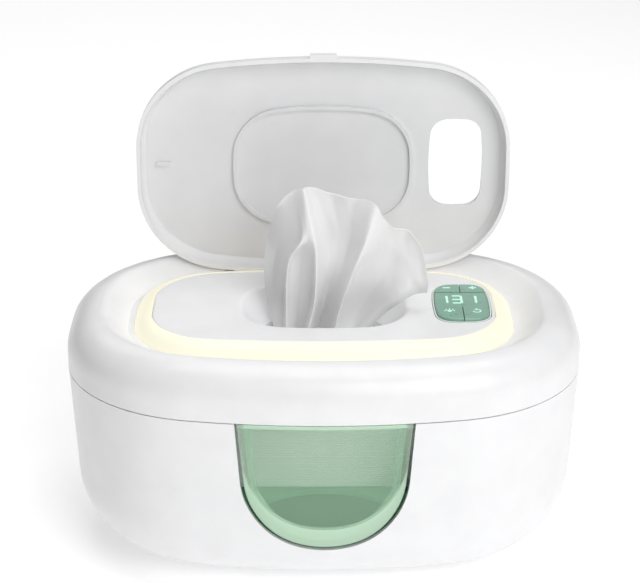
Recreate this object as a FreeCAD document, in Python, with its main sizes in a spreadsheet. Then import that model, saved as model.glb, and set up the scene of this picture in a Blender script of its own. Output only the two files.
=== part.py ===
import FreeCAD, Part
import math
import os
import re
import Sketcher
from FreeCAD import Placement, Rotation, Vector

# Baby wipe warmer, in millimetres.
# The origin is on the floor under the middle of the body: X along the body, -Y to the front, +Z up.
# The rest pose has the flip lid open and the top cover closed.

doc = FreeCAD.newDocument("wipe_warmer")
sheet = doc.addObject("Spreadsheet::Sheet", "Sizes")

SIZES = {
    # Body plan: an oval of eight tangent arcs, measured at the parting line.
    "body_length": 240.0,
    "body_width": 173.0,
    "side_radius": 318.0,
    "end_radius": 500.0,
    "corner_radius": 72.0,
    # Lower casing.
    "foot_height": 1.2,
    "parting_height": 90.0,
    "parting_gap": 0.5,
    "casing_wall": 2.4,
    "draft": 3.4,
    "base_round": 38.5,
    "fit_gap": 0.3,
    # Window in the front of the lower casing.
    "window_radius": 38.0,
    "window_bottom": 25.6,
    "window_top_half": 40.0,
    "window_pane": 2.2,
    "window_flange": 1.8,
    "window_reach": 8.0,
    "window_lean": 20.0,
    # Inner tank, lift platform and wipes.
    "tank_gap": 2.4,
    "tank_wall": 1.6,
    "tank_drop": 0.6,
    "platform_height": 43.0,
    "platform_wall": 2.0,
    "platform_inset": 15.5,
    "platform_travel": 12.0,
    "notch_depth": 15.5,
    "notch_half": 31.0,
    "lift_coil_radius": 9.0,
    "lift_wire": 1.6,
    "lift_turns": 4.0,
    "stack_end_gap": 9.5,
    "stack_side_gap": 18.3,
    "stack_corner": 14.0,
    # Feet.
    "foot_radius": 8.0,
    "foot_end_gap": 62.0,
    "foot_side_gap": 58.5,
    # Rear hinge of the top cover.
    "hinge_inset": 1.2,
    "knuckle_radius": 3.0,
    "knuckle_half": 14.0,
    "hinge_half": 30.0,
    "hinge_pin_radius": 1.2,
    "pin_gap": 0.05,
    "hinge_web": 7.0,
    # Upper casing.
    "shell_wall": 2.2,
    "rim_height": 8.5,
    "crown_round": 15.5,
    "crest_blend": 5.0,
    "shelf_slope": 35.5,
    "shelf_drop": 8.0,
    "ledge_lap": 2.5,
    # Deck, mouth and light ring.
    "deck_end_gap": 39.5,
    "deck_side_gap": 41.7,
    "deck_side_radius": 450.0,
    "deck_end_radius": 1200.0,
    "deck_corner_radius": 32.3,
    "deck_rise": 6.5,
    "deck_wall": 2.2,
    "deck_edge": 0.8,
    "ring_width": 8.2,
    "ring_wall": 1.8,
    "ring_flange": 3.0,
    "mouth_end_gap": 41.5,
    "mouth_side_gap": 16.8,
    "mouth_corner": 22.5,
    "mouth_lip": 3.0,
    "throat_end_step": 10.0,
    "throat_side_step": 13.0,
    "throat_corner": 13.0,
    "throat_wall": 2.0,
    # Layers that close the cover from below.
    "liner_rise": 7.0,
    "liner_wall": 2.0,
    "plate_inset": 4.0,
    "plate_wall": 1.5,
    "film_wall": 0.4,
    "strip_offset": 3.6,
    "strip_width": 5.4,
    "strip_wall": 1.0,
    "led_count": 22.0,
    "led_length": 3.5,
    "led_width": 2.8,
    "led_height": 1.4,
    "seal_inset": 4.4,
    "seal_wall": 2.2,
    "boss_radius": 3.2,
    "screw_radius": 1.2,
    "screw_head_radius": 2.6,
    "screw_end_inset": 20.0,
    "screw_corner_x": 35.3,
    "screw_corner_y": 39.9,
    # Key panel.
    "panel_end_gap": 15.6,
    "panel_length": 43.7,
    "panel_width": 25.3,
    "panel_end_radius": 60.0,
    "panel_side_radius": 160.0,
    "panel_corner": 8.0,
    "key_proud": 1.8,
    "key_sink": 1.9,
    "rear_key_row": 10.9,
    "front_key_row": 14.9,
    "key_gap": 0.4,
    "key_travel": 0.5,
    "key_edge": 1.0,
    "stem_radius": 1.6,
    "tray_wall": 0.6,
    "tray_rise": 0.4,
    "board_wall": 1.6,
    "board_drop": 4.7,
    # Power inlet.
    "socket_end_gap": 54.0,
    "socket_rise": 4.3,
    "socket_setback": 14.2,
    "socket_radius": 4.0,
    "socket_bore": 3.1,
    # Flip lid and its hinge.
    "lid_wall": 1.9,
    "lid_headroom": 5.0,
    "lid_round": 8.0,
    "lid_top_wall": 1.7,
    "lid_panel_wall": 1.2,
    "lid_hole_gap": 0.55,
    "lid_seal_end_lap": 5.1,
    "lid_seal_side_lap": 2.8,
    "lid_seal_drop": 1.4,
    "lid_seal_corner": 24.0,
    "lid_seal_wall": 1.7,
    "lid_axis_gap": 0.2,
    "lid_knuckle_radius": 1.9,
    "lid_pin_radius": 1.0,
    "lid_knuckle_in": 24.0,
    "lid_knuckle_out": 44.0,
    "lid_ear": 4.0,
    "nest_gap": 0.5,
    "tab_length": 13.0,
    "tab_reach": 1.9,
    "tab_wall": 2.6,
    # The wipe in the mouth.
    "wipe_width": 77.0,
    "wipe_height": 58.0,
    "wipe_depth": 10.0,
}

for row, (alias, number) in enumerate(SIZES.items(), start=1):
    sheet.set("A%d" % row, alias)
    sheet.set("B%d" % row, str(number))
    sheet.setAlias("B%d" % row, alias)
doc.recompute()

ALIAS = re.compile(r"\b(" + "|".join(SIZES) + r")\b")


def expr(text):
    """An expression on the sheet's cells, such as body_length / 2."""
    return ALIAS.sub(r"Sizes.\1", text)


def size(text):
    """The number that an expression on the sheet's cells has now."""
    return float(sheet.evalExpression(expr(text)))


# ---- Sketches ------------------------------------------------------------

def start_sketch(body, name, plane, place):
    """A sketch on one of the body's own origin planes, moved by three expressions."""
    sketch = body.newObject("Sketcher::SketchObject", name)
    plane_object = [f for f in body.Origin.OriginFeatures if f.Role == plane][0]
    sketch.AttachmentSupport = [(plane_object, "")]
    sketch.MapMode = "FlatFace"
    for letter, text in zip("xyz", place):
        sketch.setExpression("AttachmentOffset.Base." + letter, expr(text))
    return sketch


def constrain(sketch, kind, *where, text=None):
    """Adds a constraint, and binds it to the sheet when it has an expression."""
    if text is None:
        return sketch.addConstraint(Sketcher.Constraint(kind, *where))
    index = sketch.addConstraint(Sketcher.Constraint(kind, *where, size(text)))
    sketch.setExpression("Constraints[%d]" % index, expr(text))
    return index


def circle_arc(centre, radius, start, end):
    circle = Part.Circle(Vector(centre[0], centre[1], 0), Vector(0, 0, 1), radius)
    return Part.ArcOfCircle(circle, start, end)


def plan(length, width, side, end, corner):
    """An oval's half sizes and three radii, as expressions."""
    return ["(%s) / 2" % length, "(%s) / 2" % width, side, end, corner]


def inset(outline, distance):
    """The parallel oval that lies the distance inside."""
    return ["(%s - (%s))" % (part, distance) for part in outline]


BODY = plan("body_length", "body_width", "side_radius", "end_radius", "corner_radius")
DECK_END = "(body_length / 2 - deck_end_gap)"
DECK_BACK = "(body_width / 2 - deck_side_gap)"
DECK = [DECK_END, DECK_BACK, "deck_side_radius", "deck_end_radius", "deck_corner_radius"]
RING = inset(DECK, "-ring_width")
LID = inset(RING, "-fit_gap - lid_wall")
PANEL = plan("panel_width", "panel_length", "panel_end_radius", "panel_side_radius", "panel_corner")
MOUTH_END = "(%s - mouth_end_gap)" % DECK_END
MOUTH_SIDE = "(%s - mouth_side_gap)" % DECK_BACK
MOUTH = [MOUTH_END, MOUTH_SIDE, MOUTH_END + " * 4.8", MOUTH_SIDE + " * 3.2", "mouth_corner"]
THROAT_END = "(%s - throat_end_step)" % MOUTH_END
THROAT_SIDE = "(%s - throat_side_step)" % MOUTH_SIDE
THROAT = [THROAT_END, THROAT_SIDE, THROAT_END + " * 4.8", THROAT_SIDE + " * 3.2", "throat_corner"]
SEAL_END = "(%s + lid_seal_end_lap)" % MOUTH_END
SEAL_SIDE = "(%s + lid_seal_side_lap)" % MOUTH_SIDE
LID_SEAL = [SEAL_END, SEAL_SIDE, SEAL_END + " * 4", SEAL_SIDE + " * 4", "lid_seal_corner"]


def oval_sketch(body, name, outline, plane, place):
    """A closed oval of side, end and corner arcs. It starts where it crosses +X."""
    sketch = start_sketch(body, name, plane, place)
    half_x, half_y, side, end, corner = [size(part) for part in outline]
    side_y = side - half_y
    end_x = end - half_x
    # The corner arc's centre is where circles about the two other centres cross.
    span = math.hypot(end_x, side_y)
    along = (span ** 2 + (side - corner) ** 2 - (end - corner) ** 2) / (2 * span)
    across = math.sqrt((side - corner) ** 2 - along ** 2)
    ux = -end_x / span
    uy = side_y / span
    cx = along * ux + across * uy
    cy = -side_y + along * uy - across * ux
    side_turn = math.atan2(cy + side_y, cx)
    end_turn = math.atan2(cy, cx + end_x)
    pi = math.pi
    arcs = [
        circle_arc((-end_x, 0), end, 0, end_turn),
        circle_arc((cx, cy), corner, end_turn, side_turn),
        circle_arc((0, -side_y), side, side_turn, pi - side_turn),
        circle_arc((-cx, cy), corner, pi - side_turn, pi - end_turn),
        circle_arc((end_x, 0), end, pi - end_turn, pi + end_turn),
        circle_arc((-cx, -cy), corner, pi + end_turn, pi + side_turn),
        circle_arc((0, side_y), side, pi + side_turn, 2 * pi - side_turn),
        circle_arc((cx, -cy), corner, 2 * pi - side_turn, 2 * pi - end_turn),
        circle_arc((-end_x, 0), end, 2 * pi - end_turn, 2 * pi),
    ]
    sketch.addGeometry(arcs, False)
    for arc in range(8):
        constrain(sketch, "Tangent", arc, 2, arc + 1, 1)
    constrain(sketch, "Coincident", 8, 2, 0, 1)
    constrain(sketch, "PointOnObject", 0, 1, -1)
    constrain(sketch, "Coincident", 8, 3, 0, 3)
    for arc, axis in ((0, -1), (4, -1), (2, -2), (6, -2)):
        constrain(sketch, "PointOnObject", arc, 3, axis)
    for arc, radius in ((0, 3), (4, 3), (2, 2), (6, 2), (1, 4), (3, 4), (5, 4), (7, 4)):
        constrain(sketch, "Radius", arc, text=outline[radius])
    constrain(sketch, "DistanceX", 0, 3, -1, 1, text="%s - %s" % (outline[3], outline[0]))
    constrain(sketch, "DistanceX", -1, 1, 4, 3, text="%s - %s" % (outline[3], outline[0]))
    constrain(sketch, "DistanceY", 2, 3, -1, 1, text="%s - %s" % (outline[2], outline[1]))
    constrain(sketch, "DistanceY", -1, 1, 6, 3, text="%s - %s" % (outline[2], outline[1]))
    return sketch


def section_sketch(body, name, plane, corners, place=("0", "0", "0")):
    """A closed outline through corners (u, v) or, for an arc, (u, v, radius, turn).

    An arc runs from the corner before it, with turn 1 to the left and -1 to the right.
    """
    sketch = start_sketch(body, name, plane, place)
    points = [(size(c[0]), size(c[1])) for c in corners]
    ends = []
    for index, corner in enumerate(corners):
        start = points[index - 1]
        end = points[index]
        if len(corner) == 2:
            sketch.addGeometry(Part.LineSegment(Vector(*start, 0), Vector(*end, 0)), False)
            ends.append((1, 2))
            continue
        radius = size(corner[2])
        turn = corner[3]
        chord = (end[0] - start[0], end[1] - start[1])
        half = math.hypot(*chord) / 2
        rise = math.sqrt(max(radius ** 2 - half ** 2, 0.0))
        middle = ((start[0] + end[0]) / 2, (start[1] + end[1]) / 2)
        lean = turn * rise / half / 2
        centre = (middle[0] - lean * chord[1], middle[1] + lean * chord[0])
        first = math.atan2(start[1] - centre[1], start[0] - centre[0])
        last = math.atan2(end[1] - centre[1], end[0] - centre[0])
        if turn < 0:
            first, last = last, first
        if last < first:
            last += 2 * math.pi
        sketch.addGeometry(circle_arc(centre, radius, first, last), False)
        ends.append((1, 2) if turn > 0 else (2, 1))
        constrain(sketch, "Radius", index, text=corner[2])
    for index, corner in enumerate(corners):
        following = (index + 1) % len(corners)
        constrain(sketch, "Coincident", index, ends[index][1], following, ends[following][0])
        for kind, text, number in (("DistanceX", corner[0], points[index][0]),
                                   ("DistanceY", corner[1], points[index][1])):
            if number >= 0:
                constrain(sketch, kind, -1, 1, index, ends[index][1], text=text)
            else:
                constrain(sketch, kind, index, ends[index][1], -1, 1, text="-(%s)" % text)
    return sketch


# ---- Solids --------------------------------------------------------------

def edges_on(shape, axis, level):
    """Names of the edges that lie in the plane where the axis has that level."""
    found = []
    for number, edge in enumerate(shape.Edges, start=1):
        box = edge.BoundBox
        low = (box.XMin, box.YMin, box.ZMin)["XYZ".index(axis)]
        high = (box.XMax, box.YMax, box.ZMax)["XYZ".index(axis)]
        if abs(low - level) < 1e-3 and abs(high - level) < 1e-3:
            found.append("Edge%d" % number)
    return found


def new_body(name):
    return doc.addObject("PartDesign::Body", name)


def pad(body, sketch, length, reverse=False, middle=False, taper=None):
    feature = body.newObject("PartDesign::Pad", sketch.Name + "_pad")
    feature.Profile = sketch
    feature.setExpression("Length", expr(length))
    feature.Reversed = reverse
    feature.Midplane = middle
    if taper is not None:
        feature.setExpression("TaperAngle", expr(taper))
    doc.recompute()
    return feature


def round_edges(body, feature, axis, level, radius):
    fillet = body.newObject("PartDesign::Fillet", feature.Name + "_round")
    fillet.Base = (feature, edges_on(feature.Shape, axis, level))
    fillet.setExpression("Radius", expr(radius))
    doc.recompute()
    return fillet


def oval_block(name, outline, bottom, top, centre=("0", "0"), rounded=None):
    """An upright oval block, with its top edge rounded when a radius is given."""
    body = new_body(name)
    sketch = oval_sketch(body, name + "_plan", outline, "XY_Plane", (centre[0], centre[1], bottom))
    feature = pad(body, sketch, "(%s) - (%s)" % (top, bottom))
    if rounded:
        round_edges(body, feature, "Z", size(top), rounded)
    return body


def oval_plate(name, outline, front, back, centre, rounded=None):
    """An oval plate that stands on edge from front to back along Y, its back edge rounded."""
    body = new_body(name)
    place = (centre[0], centre[1], "-(%s)" % front)
    sketch = oval_sketch(body, name + "_plan", outline, "XZ_Plane", place)
    feature = pad(body, sketch, "(%s) - (%s)" % (back, front), reverse=True)
    if rounded:
        round_edges(body, feature, "Y", size(back), rounded)
    return body


def bowl_block(name, depth, top, bottom):
    """The bowl's shape, a given depth inside its outer skin: tapered, with a rounded underside."""
    body = new_body(name)
    sketch = oval_sketch(body, name + "_plan", inset(BODY, depth), "XY_Plane", ("0", "0", top))
    feature = pad(body, sketch, "(%s) - (%s)" % (top, bottom), reverse=True, taper="-draft")
    round_edges(body, feature, "Z", size(bottom), "base_round - (%s)" % depth)
    return body


def sweep(name, outline, height, corners):
    """A section swept round an oval. The section's u is measured from the oval's middle."""
    body = new_body(name)
    path = oval_sketch(body, name + "_path", outline, "XY_Plane", ("0", "0", height))
    section = section_sketch(body, name + "_section", "XZ_Plane", corners)
    doc.recompute()
    pipe = body.newObject("PartDesign::AdditivePipe", name + "_pipe")
    pipe.Profile = section
    pipe.Spine = (path, [])
    doc.recompute()
    return body


def funnel(name, wide, high, narrow, low, grow):
    """An oval that narrows downwards from the mouth to the throat."""
    body = new_body(name)
    upper = oval_sketch(body, name + "_mouth", inset(wide, grow), "XY_Plane", ("0", "0", high))
    lower = oval_sketch(body, name + "_throat", inset(narrow, grow), "XY_Plane", ("0", "0", low))
    loft = body.newObject("PartDesign::AdditiveLoft", name + "_loft")
    loft.Profile = lower
    loft.Sections = [upper]
    doc.recompute()
    return body


def box(name, low, high):
    """A box between two corners, each given as three expressions."""
    item = doc.addObject("Part::Box", name)
    for side, first, last in zip(("Length", "Width", "Height"), low, high):
        item.setExpression(side, expr("(%s) - (%s)" % (last, first)))
    for letter, first in zip("xyz", low):
        item.setExpression("Placement.Base." + letter, expr(first))
    return item


TURNS = {
    "X": Rotation(Vector(0, 1, 0), 90),
    "Y": Rotation(Vector(1, 0, 0), -90),
    "Z": Rotation(),
}


def rod(name, axis, start, length, radius):
    """A cylinder that runs along +axis from a start point, all given as expressions."""
    item = doc.addObject("Part::Cylinder", name)
    item.setExpression("Radius", expr(radius))
    item.setExpression("Height", expr(length))
    item.Placement = Placement(Vector(), TURNS[axis])
    for letter, text in zip("xyz", start):
        item.setExpression("Placement.Base." + letter, expr(text))
    return item


def cross_rod(name, half, y, z, radius, middle="0"):
    """A cylinder along X, centred on the middle."""
    return rod(name, "X", ("%s - (%s)" % (middle, half), y, z), "2 * (%s)" % half, radius)


def fuse(name, *items):
    union = doc.addObject("Part::MultiFuse", name)
    union.Shapes = list(items)
    doc.recompute()
    return union


def cut(name, base, *tools):
    for number, tool in enumerate(tools, start=1):
        last = number == len(tools)
        result = doc.addObject("Part::Cut", name if last else "%s_cut_%d" % (name, number))
        result.Base = base
        result.Tool = tool
        base = result
    doc.recompute()
    return base


def common(name, first, second):
    result = doc.addObject("Part::Common", name)
    result.Base = first
    result.Tool = second
    doc.recompute()
    return result


def group(name, *items):
    """Separate solids kept in one node."""
    compound = doc.addObject("Part::Compound", name)
    compound.Links = list(items)
    doc.recompute()
    return compound


nodes = {}


def keep(name, item):
    """Names a finished sub-part, which is written to its own file."""
    item.Label = name
    nodes[name] = item
    return item


# ---- Named heights and places -------------------------------------------

CASING_TOP = "(parting_height - parting_gap / 2)"
COVER_BOTTOM = "(parting_height + parting_gap / 2)"
CASING_FLOOR = "(foot_height + casing_wall)"
TANK_INSET = "(casing_wall + tank_gap)"
TANK_BOTTOM = "(foot_height + casing_wall + fit_gap)"
TANK_FLOOR = "(foot_height + casing_wall + fit_gap + tank_wall)"
TANK_TOP = "(parting_height - tank_drop)"
PLATFORM_TOP = "platform_height"
PLATFORM_BOTTOM = "(platform_height - platform_wall)"
LIFT_X = "(body_length / 4)"
HINGE_Y = "(body_width / 2 - hinge_inset)"
HINGE_Z = "parting_height"
CROWN_START = "(parting_height + rim_height)"
CREST = "(%s + crown_round)" % CROWN_START
SHELF = "(%s - shelf_drop)" % CREST
DECK_TOP = "(%s + deck_rise)" % SHELF
DECK_UNDER = "(%s - deck_wall)" % DECK_TOP
RING_BACK = "(%s + ring_width)" % DECK_BACK
LINER_BOTTOM = "(parting_height + liner_rise)"
LINER_TOP = "(%s + liner_wall)" % LINER_BOTTOM
LAYER_BOTTOM = "(%s + fit_gap)" % LINER_TOP
LID_AXIS_Y = "(%s + fit_gap + lid_wall + lid_axis_gap)" % RING_BACK
LID_AXIS_Z = "(%s + lid_axis_gap)" % SHELF
LID_FRONT = "(%s + fit_gap - lid_axis_gap)" % LID_AXIS_Y
LID_BACK = "(%s + deck_rise + lid_headroom)" % LID_FRONT
LID_FOOT = "(%s + lid_axis_gap)" % LID_AXIS_Z
LID_MIDDLE = "(%s + %s + fit_gap + lid_wall)" % (LID_FOOT, RING_BACK)
LID_TOP = "(2 * %s - %s)" % (LID_MIDDLE, LID_FOOT)
MAIN_BOARD_TOP = "(%s - board_drop)" % DECK_UNDER
PANEL_X = "(%s - panel_end_gap)" % DECK_END
KEY_TOP = "(%s + key_proud)" % DECK_TOP
KEY_BOTTOM = "(%s - key_sink)" % DECK_TOP
TRAY_BOTTOM = "(%s - 1.7)" % KEY_BOTTOM
TRAY_FLOOR = "(%s - 0.7)" % KEY_BOTTOM
CONTROL_BOARD_TOP = "(%s - 4)" % KEY_BOTTOM
SOCKET_X = "(body_length / 2 - socket_end_gap)"
SOCKET_FACE = "(body_width / 2 - socket_setback)"
SOCKET_HEIGHT = "(%s + socket_rise)" % LAYER_BOTTOM


# ---- Base ----------------------------------------------------------------

def window_prism(name, shrink, lean=None):
    """The window's U outline, pushed through the front wall, or widening towards it by a lean."""
    body = new_body(name)
    start = "0"
    if lean:
        start = "(body_width / 2 - window_pane - window_reach - 2)"
        shrink = "(%s) + (window_pane + window_reach + 2) * tan(%s)" % (shrink, lean)
    radius = "(window_radius - (%s))" % shrink
    half = "(window_top_half - (%s))" % shrink
    centre = "(window_bottom + window_radius)"
    sketch = start_sketch(body, name + "_outline", "XZ_Plane", ("0", centre, start))
    r = size(radius)
    w = size(half)
    rise = size("parting_height - " + centre)
    # The straight sides leave the round bottom where they are tangent to it.
    reach = math.hypot(w, rise)
    turn = math.atan2(rise, w) - math.acos(r / reach)
    touch = (r * math.cos(turn), r * math.sin(turn))
    sketch.addGeometry([
        circle_arc((0, 0), r, math.pi - turn, 2 * math.pi + turn),
        Part.LineSegment(Vector(*touch, 0), Vector(w, rise, 0)),
        Part.LineSegment(Vector(w, rise, 0), Vector(-w, rise, 0)),
        Part.LineSegment(Vector(-w, rise, 0), Vector(-touch[0], touch[1], 0)),
    ], False)
    constrain(sketch, "Coincident", 0, 3, -1, 1)
    constrain(sketch, "Radius", 0, text=radius)
    constrain(sketch, "Tangent", 0, 2, 1, 1)
    constrain(sketch, "Coincident", 1, 2, 2, 1)
    constrain(sketch, "Coincident", 2, 2, 3, 1)
    constrain(sketch, "Tangent", 3, 2, 0, 1)
    constrain(sketch, "Symmetric", 2, 1, 2, 2, -2)
    constrain(sketch, "DistanceX", -1, 1, 1, 2, text=half)
    constrain(sketch, "DistanceY", -1, 1, 1, 2, text="parting_height - " + centre)
    pad(body, sketch, "body_width / 2 + 10 - " + start, taper=lean)
    return body


def cross_block(name, half, low, high, middle="0"):
    """A box along X, centred on the middle, between two corners (y, z)."""
    return box(name, ("%s - (%s)" % (middle, half), low[0], low[1]),
               ("%s + (%s)" % (middle, half), high[0], high[1]))


def hinge_knuckle(name, half, middle, low, high):
    """A barrel on the rear hinge axis with the web that joins it to its wall."""
    barrel = cross_rod(name + "_barrel", half, HINGE_Y, HINGE_Z, "knuckle_radius", middle)
    web = cross_block(name + "_web", half, ("body_width / 2 - casing_wall * 0.9", low),
                      (HINGE_Y + " + knuckle_radius", high), middle)
    return fuse(name, barrel, web)


def make_base():
    side_half = "(hinge_half - knuckle_half - fit_gap) / 2"
    side_middle = "(hinge_half + knuckle_half + fit_gap) / 2"
    outer = bowl_block("casing_outer", "0", CASING_TOP, "foot_height")
    hollow = bowl_block("casing_hollow", "casing_wall", CASING_TOP, CASING_FLOOR)
    wall = cut("casing_wall_shell", outer, hollow)
    knuckles = []
    for side, sign in (("left", "-"), ("right", "")):
        knuckles.append(hinge_knuckle("base_knuckle_" + side, side_half, sign + side_middle,
                                      "parting_height - hinge_web", CASING_TOP))
    body = fuse("casing_with_knuckles", wall, *knuckles)
    relief = cross_rod("cover_knuckle_relief", "knuckle_half + fit_gap", HINGE_Y, HINGE_Z,
                       "knuckle_radius + fit_gap")
    bore = cross_rod("base_hinge_bore", "hinge_half + 1", HINGE_Y, HINGE_Z, "hinge_pin_radius + pin_gap")
    opening = window_prism("window_opening", "0")
    keep("lower_casing", cut("lower_casing", body, relief, bore, opening))

    # Window: a pane that follows the casing's skin, with a flange that leans inwards all round.
    outline = window_prism("window_outline", "fit_gap", "window_lean")
    reach = bowl_block("window_reach_block", "window_pane + window_reach", CASING_TOP,
                       "foot_height + window_pane + window_reach")
    skin = bowl_block("window_skin", "0", CASING_TOP, "foot_height")
    thick_wall = cut("window_thick_wall", skin, reach)
    blank = common("window_blank", outline, thick_wall)
    core = window_prism("window_core", "fit_gap + window_flange", "window_lean")
    inside = bowl_block("window_inside", "window_pane", CASING_TOP, "foot_height + window_pane")
    hollow_core = common("window_hollow", core, inside)
    # The flange stops level with the tank, under the cover's seal.
    top_trim = oval_block("window_top_trim", inset(BODY, "casing_wall + fit_gap"), TANK_TOP,
                          "parting_height + 5")
    keep("window", cut("window", blank, hollow_core, top_trim))

    # Inner tank.
    tank_outer = bowl_block("tank_outer", TANK_INSET, TANK_TOP, TANK_BOTTOM)
    tank_hollow = bowl_block("tank_hollow", TANK_INSET + " + tank_wall", TANK_TOP, TANK_FLOOR)
    tank_wall = cut("tank_shell", tank_outer, tank_hollow)
    seats = []
    for side, sign in (("left", "-"), ("right", "")):
        seats.append(rod("spring_seat_" + side, "Z", (sign + LIFT_X, "0", TANK_FLOOR + " - 0.2"),
                         "3.2", "lift_coil_radius - lift_wire"))
    tank = fuse("tank_with_seats", tank_wall, *seats)
    passage = window_prism("tank_passage", "-fit_gap")
    keep("wipe_tank", cut("wipe_tank", tank, passage))

    # Rubber feet.
    foot_x = "(body_length / 2 - foot_end_gap)"
    foot_y = "(body_width / 2 - foot_side_gap)"
    feet = []
    for number, (sign_x, sign_y) in enumerate((("-", "-"), ("", "-"), ("", ""), ("-", "")), start=1):
        feet.append(rod("foot_%d" % number, "Z", (sign_x + foot_x, sign_y + foot_y, "0"),
                        "foot_height", "foot_radius"))
    keep("rubber_feet", group("rubber_feet", *feet))

    keep("cover_hinge_pin", cross_rod("cover_hinge_pin", "hinge_half", HINGE_Y, HINGE_Z,
                                      "hinge_pin_radius"))


def make_platform():
    plate = oval_block("platform_plate", inset(BODY, "platform_inset"), PLATFORM_BOTTOM, PLATFORM_TOP)
    # The scallop's circle passes through its two ends on the front edge and its deepest point.
    front = "(body_width / 2 - platform_inset)"
    radius = "((notch_half ^ 2 + notch_depth ^ 2) / (2 * notch_depth))"
    scallop = rod("platform_scallop", "Z", ("0", "-%s + notch_depth - %s" % (front, radius),
                                            PLATFORM_BOTTOM + " - 1"), "platform_wall + 2", radius)
    keep("lift_platform", cut("lift_platform", plate, scallop))

    # A coil is a chain of half rings, tilted to and fro, that meet with one tangent.
    rings = int(round(2 * size("lift_turns")))
    wire_bottom = "(%s + fit_gap + lift_wire / 2)" % TANK_FLOOR
    rise = "((%s - fit_gap - lift_wire / 2 - %s) / %d)" % (PLATFORM_BOTTOM, wire_bottom, rings)
    tilt = math.degrees(math.atan(size(rise) / 2 / size("lift_coil_radius")))
    coils = []
    for side, sign in (("left", "-"), ("right", "")):
        halves = []
        for number in range(rings):
            half = doc.addObject("Part::Torus", "lift_%s_half_%d" % (side, number + 1))
            half.setExpression("Radius1", expr("sqrt(lift_coil_radius ^ 2 + (%s / 2) ^ 2)" % rise))
            half.setExpression("Radius2", expr("lift_wire / 2"))
            half.Angle3 = 180
            facing = Rotation(Vector(0, 0, 1), 180 * (number % 2))
            lean = Rotation(Vector(0, 1, 0), tilt if number % 2 else -tilt)
            half.Placement = Placement(Vector(), lean.multiply(facing))
            half.setExpression("Placement.Base.x", expr(sign + LIFT_X))
            half.setExpression("Placement.Base.z", expr("%s + %s * %s" % (wire_bottom, rise, number + 0.5)))
            halves.append(half)
        coils.append(fuse("lift_coil_" + side, *halves))
    keep("lift_springs", group("lift_springs", *coils))

    body = new_body("wipe_stack_body")
    half_x = "(body_length / 2 - platform_inset - stack_end_gap)"
    half_y = "(body_width / 2 - platform_inset - stack_side_gap)"
    sketch = section_sketch(body, "wipe_stack_plan", "XY_Plane", [
        (half_x + " - stack_corner", "-" + half_y),
        (half_x, "-%s + stack_corner" % half_y, "stack_corner", 1),
        (half_x, half_y + " - stack_corner"),
        (half_x + " - stack_corner", half_y, "stack_corner", 1),
        ("-%s + stack_corner" % half_x, half_y),
        ("-" + half_x, half_y + " - stack_corner", "stack_corner", 1),
        ("-" + half_x, "-%s + stack_corner" % half_y),
        ("-%s + stack_corner" % half_x, "-" + half_y, "stack_corner", 1),
    ], ("0", "0", PLATFORM_TOP + " + fit_gap"))
    pad(body, sketch, "%s - platform_height - 2 * fit_gap" % LINER_BOTTOM)
    keep("wipe_stack", body)


# ---- Top cover -----------------------------------------------------------

def lid_nest(name, grow, front):
    """The open lid's own form, grown a little: the cover is hollowed to it."""
    return oval_plate(name, inset(LID, "-(%s)" % grow), front, "%s + %s" % (LID_BACK, grow),
                      ("0", LID_MIDDLE), rounded="lid_round + " + grow)


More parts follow.
